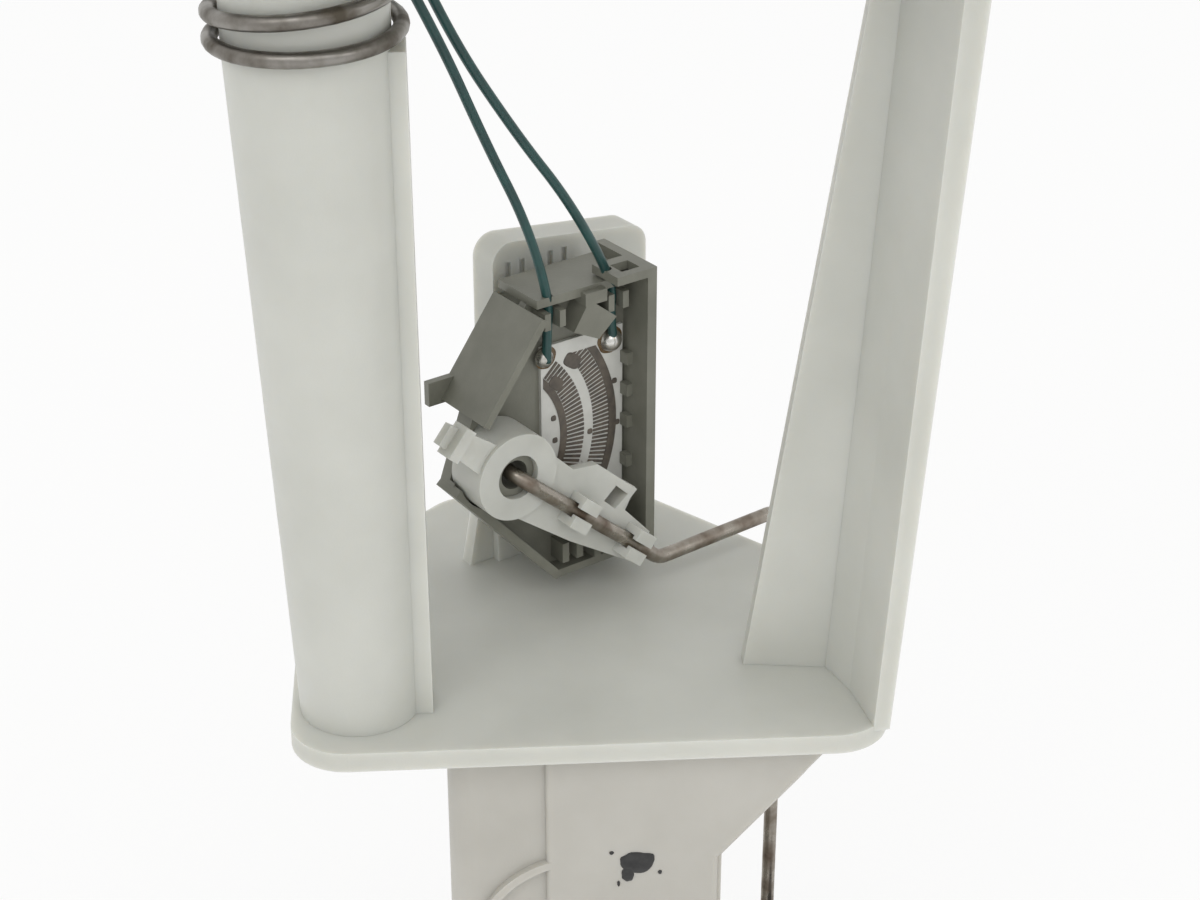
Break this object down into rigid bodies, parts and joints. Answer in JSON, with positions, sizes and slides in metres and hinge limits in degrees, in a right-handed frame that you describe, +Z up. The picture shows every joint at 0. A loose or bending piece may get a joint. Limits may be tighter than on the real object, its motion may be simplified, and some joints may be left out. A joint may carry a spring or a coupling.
{
  "type": "fuel pump module",
  "caption": "In-tank fuel pump module: round sealing flange, sprung carrier on guide posts, pump in a housing below, float arm level sender above.",
  "frame": {"origin": "centre of the flange axis at the level of the feet", "axes": "+Z up along the flange axis, +X along the deck's front edge, -Y to the front"},
  "size_m": [0.168, 0.168, 0.337],
  "materials": {
    "flange": "satin natural acetal",
    "seal": "matt rubber",
    "contact": "tinned metal",
    "spring": "dark drawn steel",
    "natural": "natural acetal",
    "warm": "natural acetal, slightly warm",
    "mesh": "woven nylon",
    "can": "plated steel",
    "cap": "black moulded plastic",
    "magnet": "ferrite and carbon",
    "armature": "laminated steel",
    "olive": "olive-grey moulded plastic",
    "card": "off-white ceramic",
    "track": "fired ink",
    "lead": "dark green insulation",
    "rotor": "natural acetal",
    "arm": "drawn steel wire",
    "float": "black foamed rubber"
  },
  "bodies": {
    "flange": {"flange_cover": "flange", "flange_seal": "seal", "connector_pins": "contact", "guide_tube": "flange", "guide_leg": "flange"},
    "carrier": {"guide_spring": "spring", "carrier_frame": "natural", "guide_bush": "natural", "pump_housing": "warm", "base_cover": "warm", "strainer_frame": "natural", "strainer_mesh": "mesh", "pump_can": "can", "pump_outlet_cap": "cap", "pump_inlet_cap": "cap", "pump_magnets": "magnet", "pump_brushes": "magnet", "pump_mount": "seal", "sender_housing": "olive", "sender_card": "card", "sender_tracks": "track", "sender_solder": "contact", "sender_wire_left": "lead", "sender_wire_right": "lead"},
    "pump_rotor": {"pump_armature": "armature", "pump_impeller": "cap", "pump_shaft": "spring"},
    "float_arm": {"sender_rotor": "rotor", "sender_wiper": "contact", "float_wire": "arm", "float_clip": "spring"},
    "float_body": {"float": "float"}
  },
  "joints": [
    {"name": "carrier_slide", "type": "slide", "parent": "flange", "child": "carrier", "axis": [0, 0, 1], "range_m": [0, 0.035], "stiffness_N_per_m": 300, "springref_m": -0.03, "deforming": ["guide_spring", "sender_wire_left", "sender_wire_right"]},
    {"name": "float_arm_hinge", "type": "hinge", "parent": "carrier", "child": "float_arm", "pos_m": [-0.0202, 0.0092, 0.1589], "axis": [0.5388, -0.8425, 0], "range_deg": [0, 70]},
    {"name": "float_swivel", "type": "hinge", "parent": "float_arm", "child": "float_body", "pos_m": [0.04546, 0.03125, 0.012], "axis": [0.5388, -0.8425, 0], "continuous": true},
    {"name": "pump_rotor_spin", "type": "hinge", "parent": "carrier", "child": "pump_rotor", "pos_m": [-0.00375, 0.003, 0.06], "axis": [0, 0, 1], "continuous": true}
  ]
}
